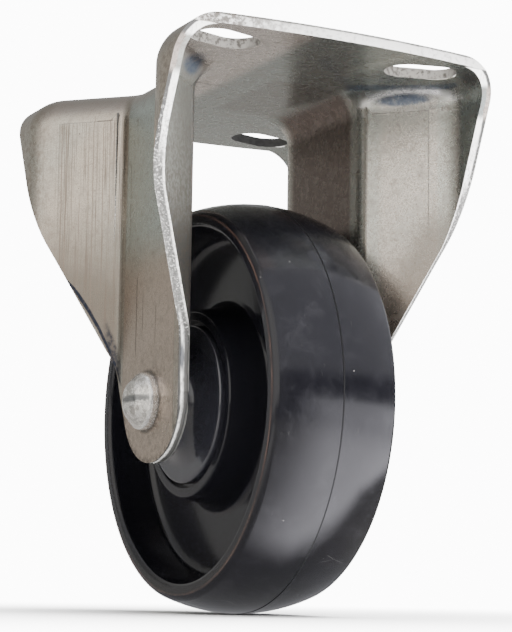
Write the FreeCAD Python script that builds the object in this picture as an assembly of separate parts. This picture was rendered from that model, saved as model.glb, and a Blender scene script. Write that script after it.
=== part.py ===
import FreeCAD, Part
import math
import os

V = FreeCAD.Vector

# Fixed castor. Origin: middle of the flat mounting face. Axle along X, rolling direction Y, +Z up.
# All lengths are in millimetres.

# Pressed housing
sheet = 2.5
axle_drop = 81.5
plate_length = 105.2
plate_bow = 3.6
border_width = 84.0
leg_gap = 45.2
web_half = 17.5
border_strip = 17.6
top_bend = 9.5
ridge_bend = 12.5
recess_bend = 2.5
panel_step = 0.6
panel_top = 8.6
panel_start = 1.6
panel_width = 16.0
panel_slant = 2.0
panel_fade = 42.0
leg_foot_radius = 15.8
foot_forward = 2.4
foot_raise = 1.0
neck_drop = 67.0
neck_round = 9.0

# Slots for the mounting bolts
slot_side_inset = 15.8
slot_end_inset = 12.3
slot_length = 17.6
slot_width = 11.0
slot_turn = 15.0

# Wheel moulding
wheel_diameter = 100.0
wheel_width = 32.0
tread_crown = 3.3
tread_corner = 1.8
rim_wall = 7.1
rim_draft = 1.3
web_thickness = 9.0
hub_wall = 2.4
hub_draft = 2.3
hub_lip = 1.62
seam_width = 0.3
seam_height = 0.06

# Roller bearing
sleeve_radius = 7.5
roller_diameter = 3.2
roller_count = 13
roller_length = 21.0
cage_end = 1.9
roller_play = 0.03
pocket_play = 0.08
cage_play = 0.45

# Hub caps
cap_radius = 19.2
cap_gap = 0.9
cap_plate = 2.4
cap_rib_inset = 1.7
cap_rib_wall = 2.0
cap_rib_depth = 4.0
boss_wall = 2.65
boss_blend = 5.8
boss_play = 0.4
cap_bore_play = 0.25
cage_end_play = 0.4

# Axle rivet
axle_radius = 5.0
axle_play = 0.06
head_radius = 6.9
head_side = 1.9
head_height = 4.9
closing_side = 0.9
closing_height = 3.0
dimple_radius = 3.0
dimple_depth = 1.2

# Values that follow from the sizes above
axle_z = -axle_drop
foot_z = axle_z + foot_raise
leg_inner = leg_gap / 2
leg_outer = leg_inner + sheet
border_outer = border_width / 2
ridge_half = plate_length / 2 - border_strip
slot_x = border_outer - slot_side_inset
slot_y = plate_length / 2 - slot_end_inset
deep = axle_drop + 2 * leg_foot_radius
far = plate_length
roller_radius = roller_diameter / 2
pitch_radius = sleeve_radius + roller_radius + roller_play
race_radius = pitch_radius + roller_radius + roller_play
cage_half = roller_length / 2 + pocket_play + cage_end
cap_inner_face = cage_half + cage_end_play
cap_outer_face = cap_inner_face + cap_plate
hub_floor = cap_inner_face
hub_face_half = hub_floor + hub_lip
cap_pocket_radius = cap_radius + cap_gap
cap_rib_radius = cap_radius - cap_rib_inset
hub_radius = cap_pocket_radius + hub_wall
hub_root_radius = hub_radius + hub_draft
rim_inner_radius = wheel_diameter / 2 - rim_wall
rim_floor_radius = rim_inner_radius - rim_draft
boss_radius = sleeve_radius + cap_bore_play + boss_wall
plate_under = -sheet


def plate_edge(x):
    # Half length of the bowed plate at a distance x from its middle
    return plate_length / 2 - plate_bow * (x / border_outer) ** 2


def corner_reach():
    # Where the plate's corner lies along the rolling direction, at the border's bend
    corner_x = border_outer - top_bend + math.sqrt(top_bend ** 2 - (top_bend - sheet) ** 2)
    return plate_edge(corner_x)


def straight_flare(forward):
    # An edge that runs straight from the plate's corner to a foot centred this far out
    rise = plate_under - foot_z
    reach = corner_reach() - forward
    away = math.hypot(reach, rise)
    return math.atan2(reach, rise) - math.asin(leg_foot_radius / away)


def necked_flare():
    # An edge that runs straight from the plate's corner to the neck above the foot
    return math.atan2(corner_reach() - foot_forward - leg_foot_radius, neck_drop - sheet)


def plan_corners(inset):
    # Corners of one side of the plan, moved inwards by inset: border, ridge, recess
    run_x = border_outer - leg_outer
    run_y = ridge_half - web_half
    length = math.hypot(run_x, run_y)
    across_x = run_y / length
    across_y = -run_x / length
    base_x = leg_outer - inset * across_x
    base_y = web_half - inset * across_y
    web_x = leg_outer - inset
    border_x = border_outer - inset
    web_y = base_y + (web_x - base_x) * run_y / run_x
    ridge_y = base_y + (border_x - base_x) * run_y / run_x
    return web_x, web_y, border_x, ridge_y


def core(inset):
    # The space under the pressed skin, as a solid with rounded ridges and a rounded top
    web_x, web_y, border_x, ridge_y = plan_corners(inset)
    side = [(border_x, -far), (border_x, -ridge_y), (web_x, -web_y),
            (web_x, web_y), (border_x, ridge_y), (border_x, far)]
    points = [V(x, y, -deep) for x, y in side]
    points += [V(-x, y, -deep) for x, y in reversed(side)]
    face = Part.Face(Part.makePolygon(points + [points[0]]))
    solid = face.extrude(V(0, 0, deep - inset))
    ridges = upright_edges(solid, border_x, ridge_y)
    solid = solid.makeFillet(ridge_bend - inset, ridges)
    recesses = upright_edges(solid, web_x, web_y)
    solid = solid.makeFillet(recess_bend + inset, recesses)
    top = [e for e in solid.Edges if lies_on_top(e, -inset)]
    solid = solid.makeFillet(top_bend - inset, top)
    for panel in mirrored(raised_panel(web_x, web_y, border_x, ridge_y)):
        solid = solid.fuse(panel)
    return solid


def raised_panel(web_x, web_y, border_x, ridge_y):
    # The slanting wall steps out below the plate's bend, and the step fades downwards
    lean = math.atan2(border_x - web_x, ridge_y - web_y)
    start = panel_start
    end = start + panel_width
    rows = [(start, -deep), (end, -deep), (end, -panel_top), (start + panel_slant, -panel_top),
            (start, panel_slant - panel_top)]
    points = [V(0, along, z) for along, z in rows]
    face = Part.Face(Part.makePolygon(points + [points[0]]))
    slab = face.extrude(V(panel_step + sheet / 2, 0, 0))
    rims = [e for e in slab.Edges if at_front(e, panel_step + sheet / 2)]
    slab = slab.makeFillet(panel_step / 2, rims)
    slab.translate(V(-sheet / 2 - panel_step, 0, 0))
    tilt = math.degrees(math.atan2(panel_step, panel_fade - panel_top))
    slab.rotate(V(0, 0, -panel_fade), V(0, 1, 0), tilt)
    slab.rotate(V(0, 0, 0), V(0, 0, 1), -math.degrees(lean))
    slab.translate(V(web_x, web_y, 0))
    return slab


def at_front(edge, x):
    box = edge.BoundBox
    return abs(box.XMin - x) < 0.01 and abs(box.XMax - x) < 0.01 and box.ZMax > -deep + 0.01


def upright_edges(solid, x, y):
    found = []
    for edge in solid.Edges:
        middle = edge.CenterOfMass
        upright = edge.BoundBox.ZLength > 0.9 * axle_drop
        if upright and abs(abs(middle.x) - x) < 0.01 and abs(abs(middle.y) - y) < 0.01:
            found.append(edge)
    return found


def lies_on_top(edge, height):
    box = edge.BoundBox
    level = abs(box.ZMin - height) < 0.01 and abs(box.ZMax - height) < 0.01
    at_end = box.YLength < 0.01 and abs(abs(box.YMin) - far) < 0.01
    return level and not at_end


def plate_outline():
    # The two long ends of the plate are bowed outwards
    half = plate_length / 2
    radius = (border_outer ** 2 + plate_bow ** 2) / (2 * plate_bow)
    disc_a = Part.makeCylinder(radius, deep + 20, V(0, half - radius, -deep - 10))
    disc_b = Part.makeCylinder(radius, deep + 20, V(0, radius - half, -deep - 10))
    return disc_a.common(disc_b)


def flare_height(y, flare):
    return plate_under + (y - corner_reach()) / math.tan(flare)


def border_start():
    # Where the middle of the sheet leaves the ridge's bend and runs straight along the border
    web_x, web_y, border_x, ridge_y = plan_corners(sheet / 2)
    lean = math.atan2(border_x - web_x, ridge_y - web_y)
    return ridge_y + (ridge_bend - sheet / 2) * math.tan(lean / 2)


def sheet_at(y):
    # Where the middle of the leg's sheet stands at y in the plan, and how far it has turned
    web_x, web_y, border_x, ridge_y = plan_corners(sheet / 2)
    lean = math.atan2(border_x - web_x, ridge_y - web_y)
    recess = recess_bend + sheet / 2
    ridge = ridge_bend - sheet / 2
    recess_y = web_y - recess * math.tan(lean / 2)
    border_y = border_start()
    if y <= recess_y:
        return web_x, 0.0
    if y >= border_y:
        return border_x, 0.0
    if y < recess_y + recess * math.sin(lean):
        turn = math.asin((y - recess_y) / recess)
        return web_x + recess * (1 - math.cos(turn)), turn
    if y > border_y - ridge * math.sin(lean):
        turn = math.asin((border_y - y) / ridge)
        return border_x - ridge * (1 - math.cos(turn)), turn
    return web_x + (y - web_y) * math.tan(lean), lean


def straight_rows(start, flare):
    # Heights of the straight sheared edge from start out to the border
    end = border_start()
    steps = int((end - start) / 1.5) + 1
    rows = []
    for i in range(steps + 1):
        y = start + (end - start) * i / steps
        rows.append((y, flare_height(y, flare)))
    return rows


def necked_rows():
    # The edge leaves the foot's side upright and rounds the neck into the flare
    flare = necked_flare()
    side = foot_forward + leg_foot_radius
    low_z = -neck_drop - neck_round * math.tan(flare / 2)
    rows = []
    for i in range(4):
        turn = flare * i / 4
        y = side + neck_round * (1 - math.cos(turn))
        rows.append((y, low_z + neck_round * math.sin(turn)))
    return rows + straight_rows(side + neck_round * (1 - math.cos(flare)), flare)


def flare_cutter(rows):
    # Everything below the sheared edge, which stands square to the sheet all along
    reach = sheet / 2 + 1.0
    outer_row = []
    inner_row = []
    for y, z in rows:
        x, turn = sheet_at(y)
        nx = math.cos(turn)
        ny = -math.sin(turn)
        outer_row.append(V(x + reach * nx, y + reach * ny, z))
        inner_row.append(V(x - reach * nx, y - reach * ny, z))
    outer_curve = Part.BSplineCurve()
    outer_curve.interpolate(outer_row)
    inner_curve = Part.BSplineCurve()
    inner_curve.interpolate(inner_row)
    skin = Part.makeRuledSurface(outer_curve.toShape(), inner_curve.toShape())
    return skin.extrude(V(0, 0, -2 * deep))


def corner_cutter(flare):
    # The same edge where the sheet stands along the plate's border and bends into the plate
    low_y = border_start()
    rows = [(low_y, flare_height(low_y, flare)), (corner_reach(), plate_under), (far, plate_under),
            (far, -deep), (low_y, -deep)]
    start_x = border_outer - top_bend + 0.2
    points = [V(start_x, y, z) for y, z in rows]
    face = Part.Face(Part.makePolygon(points + [points[0]]))
    return face.extrude(V(2 * top_bend, 0, 0))


def mirrored(shape):
    flip_x = shape.mirror(V(0, 0, 0), V(1, 0, 0))
    flip_y = shape.mirror(V(0, 0, 0), V(0, 1, 0))
    flip_both = flip_x.mirror(V(0, 0, 0), V(0, 1, 0))
    return [shape, flip_x, flip_y, flip_both]


def foot_cutter(forward, top):
    # What lies below the round foot on one side of its middle
    block = Part.makeBox(border_width, far, deep, V(0, forward, top - deep))
    foot = x_cylinder(leg_foot_radius, -border_width, border_width)
    return block.cut(foot.translated(V(0, forward, foot_raise)))


def straight_end(forward):
    flare = straight_flare(forward)
    low = foot_z - leg_foot_radius * math.sin(flare)
    return [flare_cutter(straight_rows(0.0, flare)), corner_cutter(flare), foot_cutter(forward, low)]


def necked_end():
    return [flare_cutter(necked_rows()), corner_cutter(necked_flare()), foot_cutter(foot_forward, foot_z)]


def leg_cutters():
    # The left leg stands at -X with its foot a little forward, towards -Y, and a neck in front.
    # The right leg has the same straight edge at both ends.
    left = straight_end(-foot_forward)
    left = left + [shape.mirror(V(0, 0, 0), V(0, 1, 0)) for shape in necked_end()]
    right = straight_end(0.0)
    right = right + [shape.mirror(V(0, 0, 0), V(0, 1, 0)) for shape in right]
    return right + [shape.mirror(V(0, 0, 0), V(1, 0, 0)) for shape in left]


def x_cylinder(radius, start, end):
    return Part.makeCylinder(radius, end - start, V(start, 0, axle_z), V(1, 0, 0))


def bolt_slot(sign_x, sign_y):
    straight = slot_length - slot_width
    half = slot_width / 2
    bar = Part.makeBox(straight, slot_width, 4 * sheet, V(-straight / 2, -half, -2 * sheet))
    for end in (-straight / 2, straight / 2):
        bar = bar.fuse(Part.makeCylinder(half, 4 * sheet, V(end, 0, -2 * sheet)))
    bar = bar.removeSplitter()
    bar.rotate(V(0, 0, 0), V(0, 0, 1), sign_x * sign_y * slot_turn)
    bar.translate(V(sign_x * slot_x, sign_y * slot_y, 0))
    return bar


def make_housing():
    body = core(0).cut(core(sheet))
    body = body.common(plate_outline())
    for cutter in leg_cutters():
        body = body.cut(cutter)
    for sign_x in (-1, 1):
        for sign_y in (-1, 1):
            body = body.cut(bolt_slot(sign_x, sign_y))
    body = body.cut(x_cylinder(axle_radius + axle_play, -border_width, border_width))
    return body


def spun(rows):
    # Solid of revolution about the axle from (x, radius) rows
    points = [V(x, 0, axle_z + r) for x, r in rows]
    face = Part.Face(Part.makePolygon(points + [points[0]]))
    return face.revolve(V(0, 0, axle_z), V(1, 0, 0), 360)


def ring_edges(shape, x, radius):
    found = []
    for edge in shape.Edges:
        circle = isinstance(edge.Curve, Part.Circle)
        if circle and abs(edge.Curve.Radius - radius) < 0.01:
            if abs(abs(edge.Curve.Center.x) - x) < 0.01:
                found.append(edge)
    return found


def make_wheel():
    half = wheel_width / 2
    web = web_thickness / 2
    tread = wheel_diameter / 2
    pocket = cap_pocket_radius
    side = [(0, race_radius), (hub_floor, race_radius),
            (hub_floor, cap_rib_radius - cap_rib_wall / 2),
            (hub_floor - cap_rib_depth, cap_rib_radius - cap_rib_wall / 2),
            (hub_floor - cap_rib_depth, cap_rib_radius + cap_rib_wall / 2),
            (hub_floor, cap_rib_radius + cap_rib_wall / 2),
            (hub_floor, pocket), (hub_face_half, pocket), (hub_face_half, hub_radius),
            (web, hub_root_radius), (web, rim_floor_radius),
            (half, rim_inner_radius), (half, tread - tread_crown)]
    points = [V(x, 0, axle_z + r) for x, r in side]
    left = [V(-x, 0, axle_z + r) for x, r in side[1:]]
    crown = Part.Arc(points[-1], V(0, 0, axle_z + tread), left[-1]).toShape()
    edges = [crown]
    chain = list(reversed(left)) + points
    for a, b in zip(chain, chain[1:]):
        edges.append(Part.makeLine(a, b))
    wire = Part.Wire(Part.__sortEdges__(edges))
    solid = Part.Face(wire).revolve(V(0, 0, axle_z), V(1, 0, 0), 360)
    corner = ring_edges(solid, half, tread - tread_crown)
    solid = solid.makeFillet(tread_corner, corner)
    solid = solid.makeFillet(1.2, ring_edges(solid, half, rim_inner_radius))
    solid = solid.makeFillet(2.4, ring_edges(solid, web, rim_floor_radius))
    solid = solid.makeFillet(2.0, ring_edges(solid, web, hub_root_radius))
    solid = solid.makeFillet(0.5, ring_edges(solid, hub_face_half, hub_radius))
    solid = solid.makeFillet(0.4, ring_edges(solid, hub_face_half, pocket))
    seam = x_cylinder(tread + seam_height, -seam_width / 2, seam_width / 2)
    seam = seam.cut(x_cylinder(tread - 1.0, -half, half))
    return solid.fuse(seam)


def make_cap(side):
    face = cap_outer_face
    boss_face = leg_inner - boss_play
    bore = sleeve_radius + cap_bore_play
    rib_inner = cap_rib_radius - cap_rib_wall / 2
    rib_outer = cap_rib_radius + cap_rib_wall / 2
    rib_end = cap_inner_face - cap_rib_depth
    rows = [(cap_inner_face, bore), (cap_inner_face, rib_inner), (rib_end, rib_inner),
            (rib_end, rib_outer), (cap_inner_face, rib_outer), (cap_inner_face, cap_radius),
            (face, cap_radius), (face, boss_radius), (boss_face, boss_radius), (boss_face, bore)]
    solid = spun([(side * x, r) for x, r in rows])
    solid = solid.makeFillet(0.6, ring_edges(solid, face, cap_radius))
    blend = min(boss_blend, 0.8 * (boss_face - face))
    solid = solid.makeFillet(blend, ring_edges(solid, face, boss_radius))
    return solid.makeFillet(0.4, ring_edges(solid, boss_face, boss_radius))


def make_sleeve():
    tube = x_cylinder(sleeve_radius, -leg_inner, leg_inner)
    tube = tube.cut(x_cylinder(axle_radius + axle_play, -leg_inner - 1, leg_inner + 1))
    return tube.makeChamfer(0.5, ring_edges(tube, leg_inner, sleeve_radius))


def make_axle():
    face = leg_outer
    rows = [(-face, 0), (-face - head_height, 0), (-face - head_height, head_radius * 0.55),
            (-face - head_side, head_radius), (-face, head_radius), (-face, axle_radius),
            (face, axle_radius), (face, head_radius), (face + closing_side, head_radius),
            (face + closing_height, head_radius * 0.5), (face + closing_height, 0)]
    solid = spun(rows[1:])
    rise = head_height - head_side
    solid = solid.makeFillet(0.8 * rise, ring_edges(solid, face + head_height, head_radius * 0.55))
    solid = solid.makeFillet(0.45 * rise, ring_edges(solid, face + head_side, head_radius))
    solid = solid.makeFillet(closing_side / 2, ring_edges(solid, face + closing_side, head_radius))
    dimple_x = face + closing_height + dimple_radius - dimple_depth
    dimple = Part.makeSphere(dimple_radius, V(dimple_x, 0, axle_z))
    return solid.cut(dimple)


def roller_angle(index):
    return 2 * math.pi * (index + 0.5) / roller_count


def roller_centre(index):
    angle = roller_angle(index)
    return pitch_radius * math.cos(angle), axle_z + pitch_radius * math.sin(angle)


def bar_at(index, radius, half):
    y, z = roller_centre(index)
    return Part.makeCylinder(radius, 2 * half, V(-half, y, z), V(1, 0, 0))


def make_roller(index):
    bar = bar_at(index, roller_radius, roller_length / 2)
    rims = [e for e in bar.Edges if isinstance(e.Curve, Part.Circle)]
    return bar.makeFillet(0.3, rims)


def make_cage():
    inner = sleeve_radius + cage_play
    outer = race_radius - cage_play
    tube = x_cylinder(outer, -cage_half, cage_half)
    tube = tube.cut(x_cylinder(inner, -cage_half - 1, cage_half + 1))
    pocket_half = roller_length / 2 + pocket_play
    for index in range(roller_count):
        tube = tube.cut(bar_at(index, roller_radius + pocket_play, pocket_half))
    return tube


def save(shape, name):
    if shape.ShapeType == "Compound" and len(shape.Solids) == 1:
        shape = shape.Solids[0]
    shape.exportStep("parts/" + name + ".step")
    box = shape.BoundBox
    print(name, shape.isValid(), len(shape.Solids), round(shape.Volume, 1),
          [round(v, 2) for v in (box.XMin, box.XMax, box.YMin, box.YMax, box.ZMin, box.ZMax)])


os.makedirs("parts", exist_ok=True)
save(make_housing(), "housing")
save(make_axle(), "axle_rivet")
save(make_sleeve(), "axle_sleeve")
save(make_wheel(), "wheel")
save(make_cap(-1), "hub_cap_left")
save(make_cap(1), "hub_cap_right")
save(make_cage(), "roller_cage")
for number in range(roller_count):
    save(make_roller(number), "roller_" + str(number + 1))
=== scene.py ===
import bpy
import math
from mathutils import Matrix, Vector

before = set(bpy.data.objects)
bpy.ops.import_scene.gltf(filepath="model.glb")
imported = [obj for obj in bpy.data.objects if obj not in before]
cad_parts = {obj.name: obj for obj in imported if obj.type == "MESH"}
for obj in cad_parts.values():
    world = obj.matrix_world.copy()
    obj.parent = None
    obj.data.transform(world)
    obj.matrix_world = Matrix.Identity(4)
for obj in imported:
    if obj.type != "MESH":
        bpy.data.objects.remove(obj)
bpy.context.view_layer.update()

mm = 0.001                                      # the material sizes below are millimetres
axleAt = (0.0, -81.5)                           # the axle's place fore and aft, and its height
headRadius = 6.9                                # the formed head of the rivet


# A finish's board, and short names for the nodes that are used again and again.

def newBoard(name):
    finish = bpy.data.materials.new(name)
    finish.use_nodes = True
    board = finish.node_tree
    board.nodes.clear()
    return finish, board, board.nodes.new("ShaderNodeOutputMaterial")


def newShader(board):
    return board.nodes.new("ShaderNodeBsdfPrincipled")


def newFinish(name):
    finish, board, out = newBoard(name)
    shader = newShader(board)
    board.links.new(shader.outputs[0], out.inputs[0])
    return finish, board, shader


def feed(board, socket, value):
    if value is None:
        return
    if isinstance(value, bpy.types.NodeSocket):
        board.links.new(value, socket)
    else:
        socket.default_value = value


def sums(board, what, a, b=None, c=None, clamp=False):
    node = board.nodes.new("ShaderNodeMath")
    node.operation = what
    node.use_clamp = clamp
    feed(board, node.inputs[0], a)
    feed(board, node.inputs[1], b)
    feed(board, node.inputs[2], c)
    return node.outputs[0]


def fade(board, value, low, high, a=0.0, b=1.0):
    node = board.nodes.new("ShaderNodeMapRange")
    node.interpolation_type = "SMOOTHSTEP"
    for socket, given in zip(node.inputs[:5], (value, low, high, a, b)):
        feed(board, socket, given)
    return node.outputs[0]


def both(board, *masks):
    out = masks[0]
    for mask in masks[1:]:
        out = sums(board, "MULTIPLY", out, mask)
    return out


def either(board, *masks):
    out = masks[0]
    for mask in masks[1:]:
        out = sums(board, "MAXIMUM", out, mask)
    return out


def window(board, value, low, high, soft):
    return both(board, fade(board, value, low - soft, low), fade(board, value, high + soft, high))


def fineLine(board, off, width, along, ends, soft):
    # A mark of this width where off is nothing, fading out at both ends
    return both(board, fade(board, sums(board, "ABSOLUTE", off), width, width * 0.3),
                window(board, along, *ends, soft))


def reach(board, a, b, middle):
    # Distance from a middle, in the plane of two coordinates
    da = sums(board, "SUBTRACT", a, middle[0])
    db = sums(board, "SUBTRACT", b, middle[1])
    return sums(board, "SQRT", sums(board, "ADD", both(board, da, da), both(board, db, db)))


def blob(board, a, b, middle, size, soft):
    # An oval spot: its middle, its half axes, and how soft its border is
    da = sums(board, "MULTIPLY_ADD", a, 1 / size[0], -middle[0] / size[0])
    db = sums(board, "MULTIPLY_ADD", b, 1 / size[1], -middle[1] / size[1])
    return fade(board, reach(board, da, db, (0.0, 0.0)), 1 + soft, 1 - soft)


def places(board):
    source = board.nodes.new("ShaderNodeTexCoord")
    scale = board.nodes.new("ShaderNodeVectorMath")
    scale.operation = "SCALE"
    board.links.new(source.outputs["Object"], scale.inputs[0])
    scale.inputs["Scale"].default_value = 1 / mm
    return scale.outputs[0]


def facings(board):
    return board.nodes.new("ShaderNodeTexCoord").outputs["Normal"]


def parts(board, vector):
    node = board.nodes.new("ShaderNodeSeparateXYZ")
    board.links.new(vector, node.inputs[0])
    return node.outputs


def point(board, x, y, z):
    node = board.nodes.new("ShaderNodeCombineXYZ")
    for socket, value in zip(node.inputs, (x, y, z)):
        feed(board, socket, value)
    return node.outputs[0]


def stretched(board, vector, size, move=(0, 0, 0)):
    node = board.nodes.new("ShaderNodeMapping")
    board.links.new(vector, node.inputs[0])
    node.inputs["Location"].default_value = move
    node.inputs["Scale"].default_value = size
    return node.outputs[0]


def cloud(board, vector, size, detail, rough, wander=0.0):
    node = board.nodes.new("ShaderNodeTexNoise")
    board.links.new(vector, node.inputs["Vector"])
    node.inputs["Scale"].default_value = 1 / size          # size is the clump's width in mm
    node.inputs["Detail"].default_value = detail
    node.inputs["Roughness"].default_value = rough
    node.inputs["Distortion"].default_value = wander
    return node.outputs["Fac"]


def specks(board, vector, size, edge, share, channel):
    # Round dust specks: spacing in mm, their edge within a cell, which cells have one, by which chance
    node = board.nodes.new("ShaderNodeTexVoronoi")
    board.links.new(vector, node.inputs["Vector"])
    node.inputs["Scale"].default_value = 1 / size
    chance = parts(board, node.outputs["Color"])[channel]
    return both(board, fade(board, node.outputs["Distance"], *edge), fade(board, chance, *share))


def tint(board, mask, low, high):
    node = board.nodes.new("ShaderNodeMix")
    node.data_type = "RGBA"
    feed(board, node.inputs[0], mask)
    feed(board, node.inputs[6], (*low, 1.0) if isinstance(low, tuple) else low)
    feed(board, node.inputs[7], (*high, 1.0) if isinstance(high, tuple) else high)
    return node.outputs[2]


def painted(board, colour, tone, much, *masks):
    # A colour with so much of a tone where all the masks meet
    return tint(board, both(board, *masks, much), colour, tone)


def mixed(board, mask, low, high):
    pick = board.nodes.new("ShaderNodeMixShader")
    feed(board, pick.inputs[0], mask)
    board.links.new(low, pick.inputs[1])
    board.links.new(high, pick.inputs[2])
    return pick.outputs[0]


def relief(board, shader, *layers):
    under = None                                # each layer is (height 0..1, depth in mm, strength)
    for height, depth, strength in layers:
        node = board.nodes.new("ShaderNodeBump")
        node.inputs["Distance"].default_value = depth * mm
        node.inputs["Strength"].default_value = strength
        feed(board, node.inputs["Height"], height)
        if under is not None:
            board.links.new(under, node.inputs["Normal"])
        under = node.outputs[0]
    board.links.new(under, shader.inputs["Normal"])


def wear(names, finish):
    for name in names:
        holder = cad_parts[name]
        if not holder.material_slots:
            holder.data.materials.append(finish)
        for slot in holder.material_slots:
            slot.material = finish


# The stamped housing: zinc plate with its grain, draw marks, painted shade, reflections and highlights, and
# bright sheared edges.

housingLook = {
    "zinc": (0.575, 0.515, 0.435),
    "innerZinc": (0.61, 0.57, 0.51),
    "webGreen": (0.53, 0.60, 0.57),
    "greenZinc": (0.47, 0.505, 0.465),
    "pinkZinc": (0.61, 0.50, 0.415),
    "brownZinc": (0.095, 0.070, 0.062),
    "shadedZinc": (0.175, 0.155, 0.13),
    "dullZinc": (0.30, 0.285, 0.265),
    "underPlate": (0.66, 0.60, 0.55),
    "deepGreen": (0.245, 0.295, 0.28),
    "bendShade": (0.175, 0.18, 0.16),
    "blueShade": (0.085, 0.115, 0.17),
    "navy": (0.018, 0.024, 0.04),
    "edgeAndHighlightWhite": (1.0, 0.985, 0.95),
    "scratch": (0.25, 0.20, 0.165),
    "speckAndShade": (0.12, 0.10, 0.085),
    "sheared": (0.86, 0.845, 0.81),
    "torn": (0.06, 0.057, 0.052),
    "rolledEdge": (0.075, 0.062, 0.052),
    "slotWall": (0.18, 0.17, 0.155),
    "slotStainAndShade": (0.03, 0.025, 0.02),
    "slotBackShade": (0.012, 0.012, 0.012),
    "outerGrain": 0.75,
    "innerGrain": 1.0,
    "roughness": 0.27,
    "edgeRoughness": 0.52,
    "metal": 1.0,
    "innerMetal": (0.965, 0.80),                 # on the plain inner face, and where it is dulled
    "edgeMetal": 0.42,

    # clouds: width in mm, detail, roughness, wander
    "mottle": (3.2, 4.0, 0.62, 0.4),
    "patch": (26.0, 2.0, 0.5, 0.4),
    "smudge": (15.0, 4.0, 0.6, 0.8),
    "sand": (1.3, 3.0, 0.7),
    "pores": (1.6, 4.0, 0.75),
    "grain": (0.36, 2.0, 0.6),
    "drawLines": (0.42, 3.0, 0.75),
    "drawGroups": (2.6, 2.0, 0.6),
    "hatch": (0.2, 2.0, 0.7),
    "brushed": (0.8, 3.0, 0.7, 0.5),
    "tear": (0.8, 3.0, 0.7),
    "wornEdge": (5.0, 3.0, 0.6),
    "edgeSand": (1.1, 3.0, 0.7),
    "pits": (0.5, 3.0, 0.7),
    "wander": (9.0, 2.0, 0.55),
    "specks": (3.7, (0.075, 0.045), (0.68, 0.78), 0),   # spacing in mm, edge, share of the cells, chance

    # tones across a sheared edge, its own zones with painted highlight and shade on the rolled-over side:
    # depth in mm from the outer face, brightness
    "topBands": [(0.0, 0.07), (0.8, 0.06), (1.0, 0.95), (2.5, 1.0)],
    "middleBands": [(0.0, 0.26), (0.35, 0.17), (1.8, 0.12), (2.15, 0.85), (2.5, 0.85)],
    "footBands": [(0.0, 0.05), (0.35, 0.08), (0.6, 0.95), (1.0, 0.40), (1.25, 0.08), (1.8, 0.06), (2.0, 0.01),
                  (2.25, 0.12)],
    "plateBands": [(0.0, 0.06), (0.35, 0.14), (0.6, 0.62), (2.5, 0.72)],

    # the pressed form that the marks follow, in mm
    "sheet": 2.5,                                # thickness
    "webAt": (25.1, 17.5),                       # the corner where the web meets the slanting wall
    "across": (0.7193, 0.6947),                  # the slanting wall's direction in the plan
    "bend": 9.5,                                 # outer radius where the plate turns down
    "borderAt": 42.0,                            # the turned-down border, and how softly it joins in
    "borderSoft": 5.0,
    "legFrom": (-3.2, -6.0),                     # between these heights the plate gives way to the leg
    "skinSplit": (1.2, 1.4),                     # depth at which the outer face gives way to the inner
    "footAt": (-2.4, -80.5),                     # middle of the rounded foot, fore and aft, and its height

    # the sheared faces: places in mm, and how far they face that way
    "legTurn": (0.05, 0.12),
    "legEnds": ((-12.0, -14.0), (0.5, 0.4)),
    "plateSides": ((-2.65, -2.45), (0.45, 0.3)),
    "plateFront": ((47.8, 48.4), (0.75, 0.88)),
    "panelStep": ((0.1, 1.4), (-62.0, -58.0)),
    "slots": ((47.6, 47.0), (36.0, 35.0)),

    # single marks
    "ledgeShadowAt": -8.55,                            # height of the painted shadow line at the panel's ledge
    "facetShadeCurve": (-0.048, 2.28, -72.4),         # the painted shade line by the back edge: bow, lean, height
    "scar": ((-14.0, -4.0), (6.0, 0.9), 0.7),    # spots: middle, half axes, softness
    "nookShade": ((38.5, -46.0), (5.0, 4.0), 0.6),
    # the painted dark reflection below the bend, and the painted highlight rim round it
    "ovalReflection": ((10.3, -6.0), (6.6, 1.25), 0.3),
    "highlightRimOutside": ((12.0, -7.0), (12.6, 3.5), 0.16),
    "highlightRimInside": ((11.5, -7.4), (10.9, 2.75), 0.16),
    "smear": ((20.0, -8.6), (3.2, 0.5), 0.6),
    "leftSpot": ((7.4, -5.0), (4.6, 1.9), 0.4),
    "dent": ((0.7, -72.5), (0.4, 3.4), 0.4),
    "scores": [                                  # place on the wall, heights, width
        (-2.1, (-62.0, -5.0), 0.26), (-1.2, (-64.0, -6.0), 0.16), (0.4, (-40.0, -8.0), 0.12),
        (3.4, (-34.0, -9.0), 0.14), (5.2, (-50.0, -10.0), 0.16), (7.9, (-64.0, -9.0), 0.18),
        (9.2, (-34.0, -11.0), 0.13), (11.6, (-58.0, -30.0), 0.13), (15.4, (-48.0, -10.0), 0.22),
        (16.6, (-56.0, -11.0), 0.20)],
    "webScores": [(7.0, (-68.0, -52.0), 0.30), (3.4, (-63.0, -56.0), 0.22), (-4.0, (-66.0, -60.0), 0.20),
                  (12.0, (-40.0, -22.0), 0.15)],
}


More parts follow.
